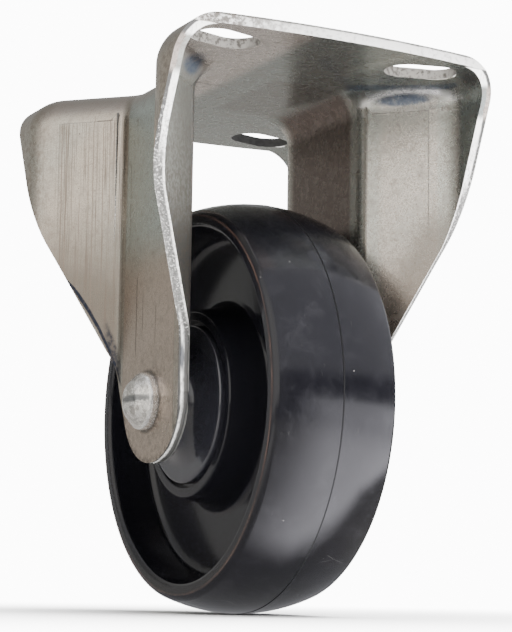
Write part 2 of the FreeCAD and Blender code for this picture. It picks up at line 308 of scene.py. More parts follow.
def sheetPlace(board, spot):
    # run counts along the slanting wall from the web, skin is the depth below the outer face
    look = housingLook
    x, y, z = parts(board, spot)
    ax = sums(board, "ABSOLUTE", x)
    ay = sums(board, "ABSOLUTE", y)
    webX, webY = look["webAt"]
    alongY, alongX = look["across"]
    outX = sums(board, "SUBTRACT", ax, webX)
    outY = sums(board, "SUBTRACT", ay, webY)
    run = sums(board, "ADD", sums(board, "MULTIPLY", outX, alongX), sums(board, "MULTIPLY", outY, alongY))
    intoWall = sums(board, "SUBTRACT", sums(board, "MULTIPLY", outY, alongX),
                    sums(board, "MULTIPLY", outX, alongY))
    inside = sums(board, "MAXIMUM", sums(board, "MULTIPLY", outX, -1.0), intoWall)
    inside = sums(board, "SMOOTH_MIN", inside, sums(board, "SUBTRACT", look["borderAt"], ax),
                  look["borderSoft"])
    bendA = sums(board, "MAXIMUM", sums(board, "SUBTRACT", look["bend"], inside), 0.0)
    bendB = sums(board, "MAXIMUM", sums(board, "ADD", z, look["bend"]), 0.0)
    skin = sums(board, "SUBTRACT", look["bend"], reach(board, bendA, bendB, (0.0, 0.0)))
    return x, y, z, ax, ay, run, skin


def sheetClouds(board, spot):
    # The unevenness that both faces of the sheet share
    look = housingLook
    mottle = cloud(board, spot, *look["mottle"])
    patch = cloud(board, stretched(board, spot, (1, 1, 1), (40, 13, 7)), *look["patch"])
    sand = cloud(board, spot, *look["sand"])
    grain = cloud(board, spot, *look["grain"])
    return mottle, patch, sand, grain


def grained(board, spot, colour, mottle, grain, much):
    # Mottle, grain and pores, the same on every rolled face
    look = housingLook
    colour = tint(board, fade(board, mottle, 0.50, 0.80, 0.0, 0.28), colour, look["dullZinc"])
    colour = tint(board, fade(board, grain, 0.44, 0.64, 0.0, 0.44 * much), colour, look["scratch"])
    pores = cloud(board, spot, *look["pores"])
    colour = tint(board, fade(board, pores, 0.48, 0.72, 0.0, 0.50 * much), colour, look["scratch"])
    return painted(board, colour, look["speckAndShade"], 0.8, specks(board, spot, *look["specks"]))


def scored(board, run, along, scores):
    # Single fine scores, all wandering together a little, each within its own heights
    wander = cloud(board, point(board, 0.0, along, 0.0), *housingLook["wander"])
    run = sums(board, "ADD", run, sums(board, "MULTIPLY_ADD", wander, 0.6, -0.3))
    return either(board, *(fineLine(board, sums(board, "SUBTRACT", run, at), width, along, length, 3.0)
                           for at, length, width in scores))


def outerFace(board, spot, x, y, z, ay, run):
    look = housingLook
    shader = newShader(board)
    mottle, patch, sand, grain = sheetClouds(board, spot)
    smudge = cloud(board, spot, *look["smudge"])
    colour = tint(board, fade(board, patch, 0.38, 0.68, 0.0, 0.45), look["zinc"], look["greenZinc"])
    colour = painted(board, colour, look["pinkZinc"], 0.4, fade(board, smudge, 0.48, 0.74))

    # greener webs above, pinker below
    web = both(board, fade(board, run, -1.9, -2.5), fade(board, z, *look["legFrom"]))
    colour = painted(board, colour, look["webGreen"], 0.95, web, fade(board, z, -50.0, -38.0))
    colour = painted(board, colour, look["pinkZinc"], 0.9, web, fade(board, z, -44.0, -56.0))

    # painted shade: darker over the top bend and towards the foot of the slanting walls
    over = fade(board, sums(board, "MULTIPLY_ADD", smudge, 3.0, z), -8.5, -1.0, 0.0, 0.8)
    colour = tint(board, both(board, over, fade(board, z, -0.05, -0.9)), colour, look["shadedZinc"])
    colour = painted(board, colour, look["shadedZinc"], 0.93, fade(board, ay, 16.6, 18.4),
                     fade(board, sums(board, "MULTIPLY_ADD", smudge, 12.0, z), -20.0, -50.0))

    # draw marks on the slanting walls, strongest on the raised panel
    drawn = point(board, run, 0.0, sums(board, "MULTIPLY", z, 0.012))
    lines = cloud(board, drawn, *look["drawLines"])
    groups = cloud(board, drawn, *look["drawGroups"])
    wall = both(board, fade(board, run, -2.8, -2.3), fade(board, run, 25.5, 23.5), fade(board, z, -8.0, -9.5))
    panel = fade(board, run, 17.6, 16.8, 0.3, 1.0)
    mark = both(board, wall, panel, fade(board, lines, 0.50, 0.64), fade(board, groups, 0.38, 0.56, 0.3, 1.0))
    colour = painted(board, colour, look["scratch"], 0.8, mark)
    edges = either(board, window(board, run, 14.4, 17.0, 0.5), window(board, run, -2.2, 1.6, 0.4))
    hatch = cloud(board, stretched(board, drawn, (1, 1, 1), (5, 0, 0)), *look["hatch"])
    colour = painted(board, colour, look["shadedZinc"], 0.75, wall, edges, fade(board, hatch, 0.46, 0.60),
                     fade(board, z, -64.0, -20.0, 0.2, 1.0))

    # what only the left leg bears: scores, and a painted shadow line at the panel's ledge
    leftLeg = fade(board, x, 1.0, -1.0)
    backLeft = both(board, leftLeg, fade(board, y, 14.0, 18.0))
    colour = painted(board, colour, look["scratch"], 0.8, scored(board, run, z, look["scores"]), backLeft)
    colour = painted(board, colour, look["speckAndShade"], 0.85, scored(board, y, z, look["webScores"]), leftLeg,
                     fade(board, ay, 16.6, 14.0))
    offLedgeShadow = sums(board, "ABSOLUTE", sums(board, "SUBTRACT", z, look["ledgeShadowAt"]))
    colour = painted(board, colour, look["speckAndShade"], 0.75, backLeft, window(board, run, 3.0, 7.2, 0.4),
                     fade(board, offLedgeShadow, 0.35, 0.12))

    # speckled towards the border, then the grain all over
    colour = painted(board, colour, look["scratch"], 0.55, fade(board, run, 14.0, 27.0),
                     fade(board, sand, 0.44, 0.64))
    colour = grained(board, spot, colour, mottle, grain, look["outerGrain"])

    # painted shade: the dark curved line of a facet by the left leg's back edge, speckled on its inside, and
    # a paler painted band outside it
    bow, lean, height = look["facetShadeCurve"]
    fall = sums(board, "MULTIPLY_ADD", run, sums(board, "MULTIPLY_ADD", run, bow, lean),
                sums(board, "MULTIPLY_ADD", mottle, 0.8, height))
    fall = sums(board, "SUBTRACT", fall, z)
    facetShade = both(board, leftLeg, fade(board, y, 13.0, 15.5), window(board, z, -75.0, -46.0, 2.0))
    deep = both(board, fade(board, run, 4.4, 2.4), fade(board, run, -1.9, -1.2),
                window(board, fall, -3.4, 0.2, 2.6), fade(board, sand, 0.62, 0.44, 0.45, 0.95), 0.8)
    thin = fade(board, z, -56.0, -47.0, 1.5, 0.6)
    shadeLine = both(board, window(board, sums(board, "DIVIDE", fall, thin), 0.0, 0.75, 0.35),
                fade(board, sand, 0.72, 0.44, 0.75, 0.95))
    colour = tint(board, both(board, facetShade, either(board, shadeLine, deep)), colour, look["navy"])
    colour = painted(board, colour, look["dullZinc"], 0.55, facetShade, fade(board, fall, 1.6, 2.2),
                     fade(board, run, -1.9, -0.8))

    # painted shade, speckled, round the rivet and along the foot's border
    fromHead = sums(board, "SUBTRACT", reach(board, y, z, axleAt), headRadius)
    shade = both(board, fade(board, fromHead, 5.0, 0.5), fade(board, y, 1.0, -3.0))
    border = both(board, fade(board, reach(board, y, z, look["footAt"]), 13.4, 15.6),
                  fade(board, z, -78.0, -84.0))
    speckledShade = both(board, either(board, shade, border, 0.3), fade(board, z, -66.0, -72.0),
                 fade(board, sand, 0.40, 0.62))
    colour = painted(board, colour, look["speckAndShade"], 0.62, leftLeg, speckledShade)
    # painted contact shadow where the rivet's head sits on the leg
    colour = painted(board, colour, look["speckAndShade"], 0.9, fade(board, fromHead, 1.3, 0.1),
                     fade(board, z, -68.0, -70.0))
    feed(board, shader.inputs["Base Color"], colour)

    matt = sums(board, "MULTIPLY_ADD", mottle, 0.14, look["roughness"] - 0.12)
    matt = sums(board, "MULTIPLY_ADD", smudge, 0.10, matt)
    feed(board, shader.inputs["Roughness"], sums(board, "MULTIPLY_ADD", mark, 0.18, matt, clamp=True))
    shader.inputs["Metallic"].default_value = look["metal"]
    relief(board, shader, (patch, 0.4, 0.2), (lines, 0.01, 0.2), (grain, 0.06, 0.34))
    return shader.outputs[0]


def innerFace(board, spot, nz, x, y, z, ay, run):
    look = housingLook
    shader = newShader(board)
    mottle, patch, sand, grain = sheetClouds(board, spot)
    rightLeg = fade(board, x, -1.0, 1.0)
    leftLeg = fade(board, x, 1.0, -1.0)
    leg = fade(board, z, *look["legFrom"])
    uneven = sums(board, "MULTIPLY_ADD", mottle, 6.0, z)
    colour = tint(board, fade(board, patch, 0.38, 0.68, 0.0, 0.35), look["innerZinc"], look["greenZinc"])

    # the right wall is pinker below with a little painted shade, the left wall greener above with painted
    # dark blue shade below
    colour = painted(board, colour, look["pinkZinc"], 0.75, rightLeg, fade(board, uneven, -36.0, -62.0))
    colour = painted(board, colour, look["shadedZinc"], 0.16, rightLeg, leg,
                     fade(board, uneven, -24.0, -44.0), fade(board, run, -1.0, 4.0))
    leftWall = both(board, leftLeg, leg, fade(board, ay, 15.0, 19.0))
    colour = painted(board, colour, look["greenZinc"], 0.85, leftWall)
    colour = painted(board, colour, look["navy"], 0.96, leftWall, fade(board, uneven, -30.0, -48.0))

    # under the plate: brushed and brownish at the left, deep green painted dark reflection at the right with
    # a paler band
    under = both(board, fade(board, nz, -0.35, -0.75), fade(board, z, -6.5, -3.5))
    colour = painted(board, colour, look["underPlate"], 0.85, under)
    colour = painted(board, colour, look["deepGreen"], 0.85, under, fade(board, x, -12.0, -7.0))
    band = window(board, sums(board, "MULTIPLY_ADD", y, 0.25, x), 3.2, 5.2, 1.6)
    colour = painted(board, colour, look["greenZinc"], 0.6, under, band, fade(board, y, -22.0, -34.0))
    brushed = cloud(board, point(board, sums(board, "MULTIPLY", x, 0.06), y, z), *look["brushed"])
    colour = painted(board, colour, look["scratch"], 0.4, under, fade(board, brushed, 0.52, 0.72))
    colour = painted(board, colour, look["speckAndShade"], 0.7, under, blob(board, x, y, *look["scar"]),
                     fade(board, sand, 0.42, 0.55))

    # inside the right leg: painted shade on the dark brown web and the greenish bend, painted shade towards
    # the lower sheared edge, and a deep green border of painted dark reflection
    colour = painted(board, colour, look["brownZinc"], fade(board, mottle, 0.3, 0.7, 0.98, 0.94), rightLeg,
                     fade(board, z, -1.5, -4.0), fade(board, ay, 18.6, 13.4))
    bend = both(board, rightLeg, leg, fade(board, y, -13.6, -15.2), fade(board, run, 1.2, -0.4))
    colour = painted(board, colour, look["bendShade"], 0.93, bend)
    greener = either(board, window(board, run, 0.8, 3.0, 2.5), window(board, run, 19.5, 22.5, 1.5))
    colour = painted(board, colour, look["greenZinc"], 0.55, rightLeg, leg, greener)
    rounded = sums(board, "MULTIPLY_ADD", z, -0.48, run)
    colour = painted(board, colour, look["shadedZinc"], 0.6, rightLeg, fade(board, rounded, 28.0, 36.5),
                     fade(board, z, -30.0, -40.0))
    # painted shade on the left wall deepening towards the web, and dark blue painted shade along its bend
    colour = painted(board, colour, look["bendShade"], fade(board, run, 22.0, 3.0, 0.30, 0.62), leftWall)
    colour = painted(board, colour, look["navy"], 0.85, leftLeg, leg, fade(board, run, 2.2, -0.6))
    colour = painted(board, colour, look["deepGreen"], 0.85, rightLeg, leg, fade(board, run, 23.5, 25.5))

    # painted reflection: the dark blue oval below the bend with its painted highlight rim; also a dark blue
    # line above it and a blue spot on the left leg, in the same tone
    front = fade(board, y, -12.0, -14.0)
    frontRight = both(board, rightLeg, front)
    wobbly = sums(board, "MULTIPLY_ADD", mottle, 3.0, sums(board, "SUBTRACT", run, 1.5))
    ovalReflection = both(board, frontRight, blob(board, wobbly, z, *look["ovalReflection"]))
    ring = sums(board, "SUBTRACT", blob(board, run, z, *look["highlightRimOutside"]),
                blob(board, run, z, *look["highlightRimInside"]))
    rimHighlight = both(board, frontRight, ring, fade(board, z, -7.6, -6.8))
    shadeLine = both(board, frontRight, window(board, sums(board, "MULTIPLY_ADD", run, 0.04, z), -3.3, -2.8, 0.35),
                window(board, run, -2.0, 23.0, 3.0), 0.75)
    leftSpot = both(board, leftLeg, front, blob(board, run, z, *look["leftSpot"]))
    colour = painted(board, colour, look["brownZinc"], 0.7, frontRight, blob(board, run, z, *look["smear"]),
                     fade(board, sand, 0.4, 0.6))
    # painted shade on the panel's step
    colour = painted(board, colour, look["shadedZinc"], 0.65, rightLeg, leg,
                     window(board, run, 0.2, 0.95, 0.25))
    # painted shade in the nook under the plate's corner
    colour = painted(board, colour, look["navy"], 0.8, under, blob(board, x, y, *look["nookShade"]))
    colour = grained(board, spot, colour, mottle, grain, look["innerGrain"])
    # speckled painted shade on the left wall, stronger below
    colour = painted(board, colour, look["shadedZinc"], fade(board, uneven, -8.0, -34.0, 0.25, 0.75),
                     leftWall, fade(board, sand, 0.42, 0.58))
    # painted highlight along the oval's rim
    colour = painted(board, colour, look["edgeAndHighlightWhite"], 0.9, rimHighlight)
    # painted dark blue reflection in the oval, and the same tone on the line above it and the spot on the
    # left leg
    colour = painted(board, colour, look["blueShade"], fade(board, sand, 0.36, 0.7, 0.92, 0.55),
                     either(board, ovalReflection, shadeLine, leftSpot))
    feed(board, shader.inputs["Base Color"], colour)

    matt = sums(board, "MULTIPLY_ADD", mottle, 0.14, look["roughness"] - 0.07)
    feed(board, shader.inputs["Roughness"], sums(board, "MULTIPLY_ADD", leftWall, 0.15, matt))
    softer = either(board, leftWall, both(board, bend, 0.4))
    feed(board, shader.inputs["Metallic"], fade(board, softer, 0.0, 1.0, *look["innerMetal"]))
    relief(board, shader, (patch, 0.4, 0.2), (grain, 0.06, 0.30))
    return shader.outputs[0]


def bands(board, depth, rows):
    # Tones across a sheared edge, from its outer face to its inner face
    look = housingLook
    node = board.nodes.new("ShaderNodeValToRGB")
    board.links.new(sums(board, "MULTIPLY", depth, 1 / look["sheet"]), node.inputs[0])
    ramp = node.color_ramp
    while len(ramp.elements) < len(rows):
        ramp.elements.new(0.5)
    for element, (at, tone) in zip(ramp.elements, rows):
        element.position = at / look["sheet"]
        element.color = (*(v * tone for v in look["edgeAndHighlightWhite"]), 1.0)
    return node.outputs[0]


def shearedFace(board, spot, plateEdge, x, y, z, ax, ay, skin):
    # Sheared edges in bands: rolled over outside, torn grey between, burnished inside; the bands also hold
    # painted highlight and shade
    look = housingLook
    shader = newShader(board)
    tear = cloud(board, stretched(board, spot, (1.0, 1.0, 0.35)), *look["tear"])
    wearAndHighlight = cloud(board, spot, *look["wornEdge"])
    sand = cloud(board, spot, *look["edgeSand"])
    pits = cloud(board, spot, *look["pits"])
    depth = sums(board, "MULTIPLY_ADD", wearAndHighlight, 0.7, sums(board, "SUBTRACT", skin, 0.35))
    depth = sums(board, "MULTIPLY_ADD", tear, 0.3, sums(board, "SUBTRACT", depth, 0.15))
    colour = bands(board, depth, look["topBands"])
    colour = tint(board, fade(board, z, -26.0, -32.0), colour, bands(board, depth, look["middleBands"]))
    colour = tint(board, fade(board, z, -60.0, -66.0), colour, bands(board, depth, look["footBands"]))
    colour = painted(board, colour, look["torn"], fade(board, z, -16.0, -28.0, 0.25, 0.5),
                     fade(board, tear, 0.46, 0.64))
    middle = window(board, z, -64.0, -22.0, 6.0)
    colour = painted(board, colour, look["torn"], fade(board, pits, 0.46, 0.36, 0.0, 0.6), middle)
    # painted glints: bright specks of highlight in the torn middle of the edge
    colour = painted(board, colour, look["sheared"], fade(board, pits, 0.54, 0.64, 0.0, 0.6), middle)
    colour = painted(board, colour, look["navy"], 0.85, blob(board, skin, z, *look["dent"]),
                     fade(board, x, 1.0, -1.0))

    # the plate's own edge: a grey roll along the top, browner towards the left
    depth = sums(board, "MULTIPLY_ADD", wearAndHighlight, 0.5, sums(board, "SUBTRACT", -0.25, z))
    plate = bands(board, depth, look["plateBands"])
    plate = tint(board, fade(board, sand, 0.50, 0.70, 0.0, 0.42), plate, look["torn"])
    plate = painted(board, plate, look["rolledEdge"], fade(board, sand, 0.38, 0.56, 0.15, 0.9),
                    fade(board, x, -4.0, -34.0))
    colour = tint(board, plateEdge, colour, plate)

    # the slots' walls are duller, with stain and painted shade, and painted dark shade at the back
    slotY, slotX = look["slots"]
    slotWall = both(board, plateEdge, fade(board, ay, *slotY), fade(board, ax, *slotX))
    slot = tint(board, fade(board, sand, 0.47, 0.60, 0.0, 0.8), look["slotWall"], look["slotStainAndShade"])
    slot = painted(board, slot, look["slotBackShade"], 0.93, fade(board, y, -1.0, 1.0))
    feed(board, shader.inputs["Base Color"], tint(board, slotWall, colour, slot))
    shader.inputs["Metallic"].default_value = look["edgeMetal"]
    feed(board, shader.inputs["Roughness"],
         sums(board, "MULTIPLY_ADD", tear, 0.2, look["edgeRoughness"] - 0.1))
    relief(board, shader, (tear, 0.15, 0.5))
    return shader.outputs[0]


def edgePast(board, place, facing, limits):
    # Past a place, and where the face looks along an axis, or away from it if the second pair falls
    placeEnds, facingEnds = limits
    return both(board, fade(board, place, *placeEnds),
                fade(board, sums(board, "ABSOLUTE", facing), *facingEnds))


def zincHousing():
    look = housingLook
    finish, board, out = newBoard("zincHousing")
    spot = places(board)
    x, y, z, ax, ay, run, skin = sheetPlace(board, spot)
    nx, ny, nz = parts(board, facings(board))

    # sheared faces stand square to the sheet: round the legs, the plate's ends and the slots
    turn = both(board, nx, sums(board, "SIGN", x), ny, sums(board, "SIGN", y))
    endOn = edgePast(board, z, nx, look["legEnds"])
    plateEdge = edgePast(board, z, nz, look["plateSides"])
    frontEdge = edgePast(board, ay, ny, look["plateFront"])
    stepRun, stepHeights = look["panelStep"]
    step = both(board, window(board, run, *stepRun, 0.2), fade(board, z, *stepHeights))
    legEdge = both(board, either(board, fade(board, turn, *look["legTurn"]), endOn),
                   fade(board, step, 1.0, 0.0))
    sheared = either(board, legEdge, plateEdge, frontEdge)

    outer = outerFace(board, spot, x, y, z, ay, run)
    inner = innerFace(board, spot, nz, x, y, z, ay, run)
    edge = shearedFace(board, spot, plateEdge, x, y, z, ax, ay, skin)
    faces = mixed(board, fade(board, skin, *look["skinSplit"]), outer, inner)
    board.links.new(mixed(board, sheared, faces, edge), out.inputs[0])
    return finish


# The rivet: a formed head with faint tool rings, plated like the housing, with a painted shade band across
# the head and a painted highlight round its flank.

rivetLook = {
    "zinc": (0.70, 0.685, 0.65),
    "dull": (0.26, 0.245, 0.22),
    "shade": (0.085, 0.09, 0.095),
    "wearAndHighlight": (1.0, 0.99, 0.96),
    "metal": 0.93,
    "roughness": 0.22,
    "grain": (0.35, 3.0, 0.65),                  # clouds: width in mm, detail, roughness, wander
    "mottle": (1.8, 4.0, 0.6, 0.5),
    "toolRings": (0.5, 2.0, 0.55),
    "shadeBelt": ((-2.2, 0.3), (5.6, 0.85), 0.4),     # painted shade across the head: middle, half axes, softness
    "flank": ((0.55, 0.25), (25.0, 25.2)),       # painted highlight: mm in from the border, mm out along the axle
}


def zincRivet():
    look = rivetLook
    finish, board, shader = newFinish("zincRivet")
    spot = places(board)
    x, y, z = parts(board, spot)
    up = sums(board, "SUBTRACT", z, axleAt[1])
    radius = reach(board, y, z, axleAt)
    grain = cloud(board, spot, *look["grain"])
    mottle = cloud(board, spot, *look["mottle"])
    toolRings = cloud(board, point(board, radius, sums(board, "MULTIPLY", x, 0.3), 0.0), *look["toolRings"])
    colour = tint(board, fade(board, mottle, 0.44, 0.66, 0.0, 0.75), look["zinc"], look["dull"])
    colour = tint(board, fade(board, grain, 0.45, 0.65, 0.0, 0.5), colour, look["dull"])
    wavy = sums(board, "MULTIPLY_ADD", mottle, 1.6, sums(board, "SUBTRACT", up, 0.8))
    # painted shade band across the head
    colour = painted(board, colour, look["shade"], 0.82, blob(board, y, wavy, *look["shadeBelt"]),
                     fade(board, x, 0.0, -1.0))
    # painted highlight round the head's flank
    (rimFrom, rimTo), out = look["flank"]
    colour = painted(board, colour, look["wearAndHighlight"], fade(board, mottle, 0.40, 0.62, 0.2, 0.7),
                     fade(board, radius, headRadius - rimFrom, headRadius - rimTo),
                     fade(board, sums(board, "ABSOLUTE", x), *out))
    feed(board, shader.inputs["Base Color"], colour)
    feed(board, shader.inputs["Roughness"],
         sums(board, "MULTIPLY_ADD", mottle, 0.22, look["roughness"] - 0.1))
    shader.inputs["Metallic"].default_value = look["metal"]
    relief(board, shader, (toolRings, 0.03, 0.3), (grain, 0.03, 0.35), (mottle, 0.12, 0.3))
    return finish


# The moulded wheel: a satin tread with scuffs and a parting seam, glossier in the recesses, with a painted
# reflection line on the rim's lip.

wheelLook = {
    "black": (0.0030, 0.0030, 0.0040),
    "greyBloom": (0.0044, 0.0042, 0.0056),
    "smudgeGrey": (0.0092, 0.0090, 0.0108),
    "dust": (0.20, 0.19, 0.18),
    "rimReflectionBrown": (0.032, 0.019, 0.015),
    "seamBlack": (0.001, 0.001, 0.001),
    "treadRoughness": 0.155,
    "recessRoughness": 0.16,
    "glossIor": 1.46,
    "treadStart": 47.5,                          # radii and places in mm
    "treadRadius": 50.0,
    "rimReflectionLine": ((45.5, 45.8), (15.6, 15.9)),     # the paler painted reflection line: its radii, and how far out it starts
    "seamHalf": 0.22,
    "bloom": (9.0, 3.0, 0.5, 0.2),               # clouds: width in mm, detail, roughness, wander
    "smudge": (5.0, 5.0, 0.65, 0.8),
    "peel": (1.6, 3.0, 0.55),
    "fine": (0.7, 3.0, 0.6),
    "hair": (0.22, 2.0, 0.7),
    "specks": (5.5, (0.035, 0.018), (0.62, 0.70), 1),   # spacing in mm, edge, share of the cells, chance
    "scratches": [                               # on the unrolled tread: from, to, width in mm
        ((5.0, -119.0), (12.0, -123.5), 0.09), ((4.0, -121.5), (8.5, -121.0), 0.07),
        ((-10.5, -142.0), (-6.0, -144.5), 0.10), ((-11.0, -143.0), (-8.0, -143.2), 0.07),
        ((6.0, 40.0), (-2.0, 47.0), 0.09), ((9.0, 96.0), (4.0, 99.0), 0.09)],
}


def scratched(board, x, y, scratches):
    # Straight fine scratches with soft ends
    lines = []
    for (x0, y0), (x1, y1), width in scratches:
        length = math.hypot(x1 - x0, y1 - y0)
        dx, dy = (x1 - x0) / length, (y1 - y0) / length
        along = sums(board, "MULTIPLY_ADD", x, dx, sums(board, "MULTIPLY_ADD", y, dy, -x0 * dx - y0 * dy))
        off = sums(board, "MULTIPLY_ADD", x, -dy, sums(board, "MULTIPLY_ADD", y, dx, x0 * dy - y0 * dx))
        lines.append(fineLine(board, off, width, along, (0.8, length - 0.8), 0.8))
    return either(board, *lines)


def blackWheel():
    look = wheelLook
    finish, board, shader = newFinish("blackWheel")
    spot = places(board)
    x, y, z = parts(board, spot)
    ax = sums(board, "ABSOLUTE", x)
    radius = reach(board, y, z, axleAt)
    tread = fade(board, radius, look["treadStart"] - 0.6, look["treadStart"])
    angle = sums(board, "ARCTAN2", y, sums(board, "SUBTRACT", z, axleAt[1]))
    arc = sums(board, "MULTIPLY", angle, look["treadRadius"])
    rolled = point(board, x, arc, radius)        # the tread, unrolled

    bloom = cloud(board, spot, *look["bloom"])
    fine = cloud(board, spot, *look["fine"])
    peel = cloud(board, spot, *look["peel"])
    smudge = cloud(board, spot, *look["smudge"])
    hair = cloud(board, stretched(board, rolled, (1.0, 0.08, 1.0)), *look["hair"])
    hairMark = both(board, fade(board, hair, 0.68, 0.8), tread, fade(board, bloom, 0.48, 0.66))
    seam = both(board, tread, fade(board, ax, look["seamHalf"], look["seamHalf"] * 0.5))
    lipRadii, lipOut = look["rimReflectionLine"]
    lipReflection = both(board, window(board, radius, *lipRadii, 0.2), fade(board, ax, *lipOut))

    colour = tint(board, both(board, tread, fade(board, bloom, 0.3, 0.7, 0.2, 0.55)), look["black"],
                  look["greyBloom"])
    colour = painted(board, colour, look["smudgeGrey"], fade(board, smudge, 0.46, 0.74, 0.0, 0.75), tread)
    # painted reflection: a thin brownish line on the rim's lip
    colour = painted(board, colour, look["rimReflectionBrown"], fade(board, bloom, 0.3, 0.6, 0.3, 0.9), lipReflection)
    colour = painted(board, colour, look["dust"], 0.6, specks(board, spot, *look["specks"]))
    colour = painted(board, colour, look["dust"], 0.25, hairMark)
    colour = painted(board, colour, look["dust"], 0.16, tread, scratched(board, x, arc, look["scratches"]))
    feed(board, shader.inputs["Base Color"], tint(board, seam, colour, look["seamBlack"]))

    matt = fade(board, tread, 0.0, 1.0, look["recessRoughness"], look["treadRoughness"])
    matt = sums(board, "MULTIPLY_ADD", bloom, 0.10, sums(board, "SUBTRACT", matt, 0.05))
    matt = sums(board, "MULTIPLY_ADD", smudge, 0.12, sums(board, "SUBTRACT", matt, 0.06))
    matt = sums(board, "MULTIPLY_ADD", seam, 0.5, matt)
    feed(board, shader.inputs["Roughness"], sums(board, "MULTIPLY_ADD", hairMark, 0.15, matt, clamp=True))
    shader.inputs["IOR"].default_value = look["glossIor"]
    relief(board, shader, (bloom, 0.12, 0.25), (smudge, 0.03, 0.25), (peel, 0.006, 0.25), (fine, 0.006, 0.35),
           (hairMark, 0.02, 0.3))
    return finish


# The two hub caps: the same black plastic, smoother, with a turned gloss and handling marks.

capLook = {
    "black": (0.0085, 0.0085, 0.0108),
    "rubGrey": (0.016, 0.017, 0.020),
    "dust": (0.20, 0.19, 0.18),
    "roughness": 0.13,
    "glossIor": 1.8,
    "rub": (6.0, 4.0, 0.6, 0.6),                 # clouds: width in mm, detail, roughness, wander
    "fine": (0.6, 3.0, 0.6),
    "specks": (4.0, (0.04, 0.02), (0.7, 0.8), 1),       # spacing in mm, edge, share of the cells, chance
}


def blackCap():
    look = capLook
    finish, board, shader = newFinish("blackCap")
    spot = places(board)
    rub = cloud(board, spot, *look["rub"])
    fine = cloud(board, spot, *look["fine"])
    colour = tint(board, fade(board, rub, 0.45, 0.8, 0.0, 0.5), look["black"], look["rubGrey"])
    colour = painted(board, colour, look["dust"], 0.5, specks(board, spot, *look["specks"]))
    feed(board, shader.inputs["Base Color"], colour)
    feed(board, shader.inputs["Roughness"], sums(board, "MULTIPLY_ADD", rub, 0.12, look["roughness"] - 0.05))
    shader.inputs["IOR"].default_value = look["glossIor"]
    relief(board, shader, (rub, 0.01, 0.1), (fine, 0.003, 0.25))
    return finish


# What turns inside the hub: a turned sleeve, hard rollers and a moulded cage.

bearingLook = {                                  # tone, roughness, width of the marks, their stretch
    "turned": ((0.56, 0.56, 0.55), 0.24, 0.25, (1.0, 0.05, 0.05)),
    "hard": ((0.68, 0.68, 0.69), 0.12, 0.12, (1.0, 0.1, 0.1)),
    "cage": ((0.62, 0.60, 0.52), 0.45, 0.6),
    "oil": (5.0, 3.0, 0.6, 0.4),                 # clouds: width in mm, detail, roughness, wander
    "flow": (3.0, 3.0, 0.6, 0.8),
    "oilDarkens": 0.7,
    "flowDarkens": 0.8,
}


def bearingSteel(name, kind):
    tone, matt, width, stretch = bearingLook[kind]
    finish, board, shader = newFinish(name)
    spot = places(board)
    lines = cloud(board, stretched(board, spot, stretch), width, 2.0, 0.6)
    oil = cloud(board, spot, *bearingLook["oil"])
    oily = tuple(v * bearingLook["oilDarkens"] for v in tone)
    feed(board, shader.inputs["Base Color"], tint(board, fade(board, oil, 0.4, 0.75), tone, oily))
    feed(board, shader.inputs["Roughness"], sums(board, "MULTIPLY_ADD", lines, 0.12, matt - 0.05))
    shader.inputs["Metallic"].default_value = 1.0
    relief(board, shader, (lines, 0.01, 0.3))
    return finish


def cagePlastic():
    tone, matt, width = bearingLook["cage"]
    finish, board, shader = newFinish("cagePlastic")
    spot = places(board)
    flow = cloud(board, spot, *bearingLook["flow"])
    fine = cloud(board, spot, width, 3.0, 0.6)
    darker = tuple(v * bearingLook["flowDarkens"] for v in tone)
    feed(board, shader.inputs["Base Color"], tint(board, fade(board, flow, 0.35, 0.7), tone, darker))
    feed(board, shader.inputs["Roughness"], sums(board, "MULTIPLY_ADD", fine, 0.15, matt - 0.07))
    relief(board, shader, (fine, 0.03, 0.3))
    return finish


print("finishes")
wear(["housing"], zincHousing())
wear(["axle_rivet"], zincRivet())
wear(["wheel"], blackWheel())
wear(["hub_cap_left", "hub_cap_right"], blackCap())
wear(["axle_sleeve"], bearingSteel("turnedSleeve", "turned"))
wear([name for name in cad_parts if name.startswith("roller_") and name != "roller_cage"],
     bearingSteel("hardRollers", "hard"))
wear(["roller_cage"], cagePlastic())


# The studio: a white surround, a pale floor, what the gloss sees, soft boxes and the photograph's camera.

studio = {
    "cameraAt": (-0.20928, -0.39836, -0.12417),
    "turn": 28.1941,                             # degrees to the right of the rolling direction
    "tilt": 8.2756,                              # degrees upwards
    "roll": -0.8707,
    "lens": 104.741,
    "sensor": 36.0,
    "clip": (0.01, 20.0),
    "floorZ": -0.1316,
    "floorRadius": 3.0,
    "floorTone": (0.88, 0.88, 0.875),
    "floorRoughness": 0.9,
    "fibre": (3.0, 3.0, 0.5),                    # the floor paper's cloud: width in mm, detail, roughness
    "fibreDarkens": 0.98,
    "glossDrop": 0.0002,                         # the gloss card lies this much lower than the floor
    "domeRadius": 6.0,
    "paper": 12.0,                               # how brightly the white paper glows
    "melt": (28.0, 230.0),                       # mm from the middle, over which the floor melts into white
    "boxes": {
        "topBox": {"at": (0.25, -0.15, 0.9), "aim": (0.0, 0.0, -0.1), "size": (0.8, 0.8), "power": 60.0},
        "frontBox": {"at": (0.1, -0.9, 0.5), "aim": (0.0, 0.0, -0.1), "size": (0.6, 0.4), "power": 12.0},
    },
}

